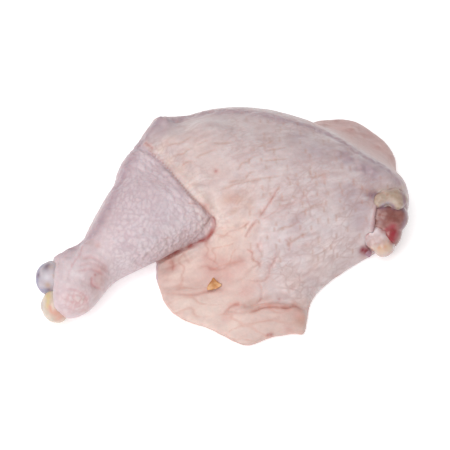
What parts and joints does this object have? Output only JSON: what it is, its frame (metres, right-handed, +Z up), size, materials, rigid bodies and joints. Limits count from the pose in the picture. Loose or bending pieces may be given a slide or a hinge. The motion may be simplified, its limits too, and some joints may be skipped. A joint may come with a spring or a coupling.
{
  "type": "chicken leg quarter",
  "caption": "Raw chicken leg, thigh and drumstick in one piece with the skin on, folded at the knee and lying skin side up with its loose skin spread.",
  "frame": {"origin": "middle of the leg's bounding box in plan, on the surface that it lies on", "axes": "+X from the hock to the hip, +Y from the spread skin to the back of the thigh, +Z up through the skin side"},
  "size_m": [0.1966, 0.1474, 0.0439],
  "materials": {
    "skin": "moist raw skin, pale pink, pebbled on the drumstick",
    "bone": "wet pink-white gristle on the thigh bone's head",
    "cartilage": "wet blue-grey cartilage",
    "tendon": "wet cream sinew",
    "muscle": "wet dark thigh meat",
    "fat": "soft yellow fat",
    "cuticle": "dry yellow scrap of cuticle"
  },
  "bodies": {
    "root": {"skin_and_meat": "skin", "thigh_bone": "bone", "shank_bone": "cartilage", "hock_pad": "tendon", "hip_muscle": "muscle", "hip_fat": "fat", "skin_fleck": "cuticle"}
  },
  "joints": []
}
